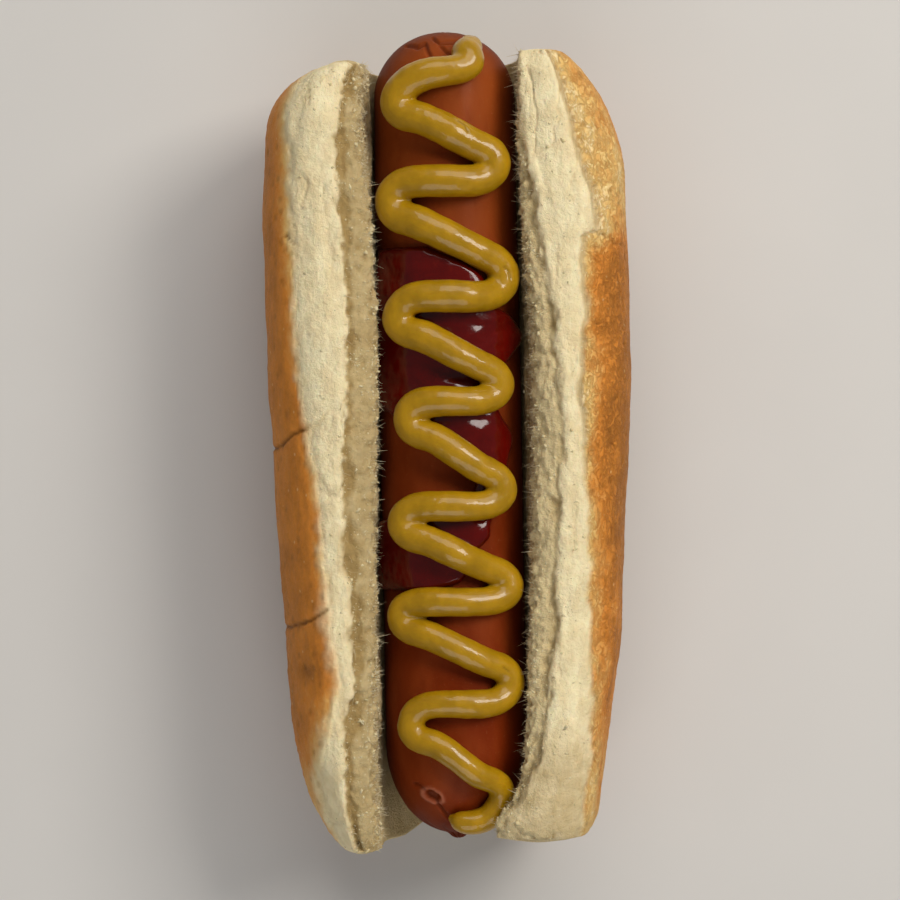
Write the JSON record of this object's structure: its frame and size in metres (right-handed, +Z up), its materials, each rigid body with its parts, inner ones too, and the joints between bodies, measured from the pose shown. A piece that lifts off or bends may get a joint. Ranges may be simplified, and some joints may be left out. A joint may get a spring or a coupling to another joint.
{
  "type": "hot dog",
  "caption": "Grilled frankfurter held in a soft bun opened along its cut, with a layer of ketchup and a zigzag bead of mustard on top.",
  "frame": {"origin": "bottom centre of the hot dog's bounding box, on the surface that the bun's hinge side rests on", "axes": "+Z up, out of the open side of the bun; +Y along the hot dog, towards the rounder end of the frankfurter; +X across, towards the half of the bun with the flat bottom crust"},
  "size_m": [0.067, 0.1498, 0.0466],
  "materials": {
    "bread": "soft white bread: satin golden-brown crust, pale torn sides, matt open cut crumb",
    "sausage_skin": "smooth satin skin of a cooked frankfurter, red-brown, darker at the ends",
    "ketchup": "thick, wet and glossy, deep red",
    "mustard": "smooth ochre-yellow paste with a soft gloss"
  },
  "bodies": {
    "root": {"bun": "bread", "frankfurter": "sausage_skin", "ketchup": "ketchup", "mustard": "mustard"}
  },
  "joints": []
}
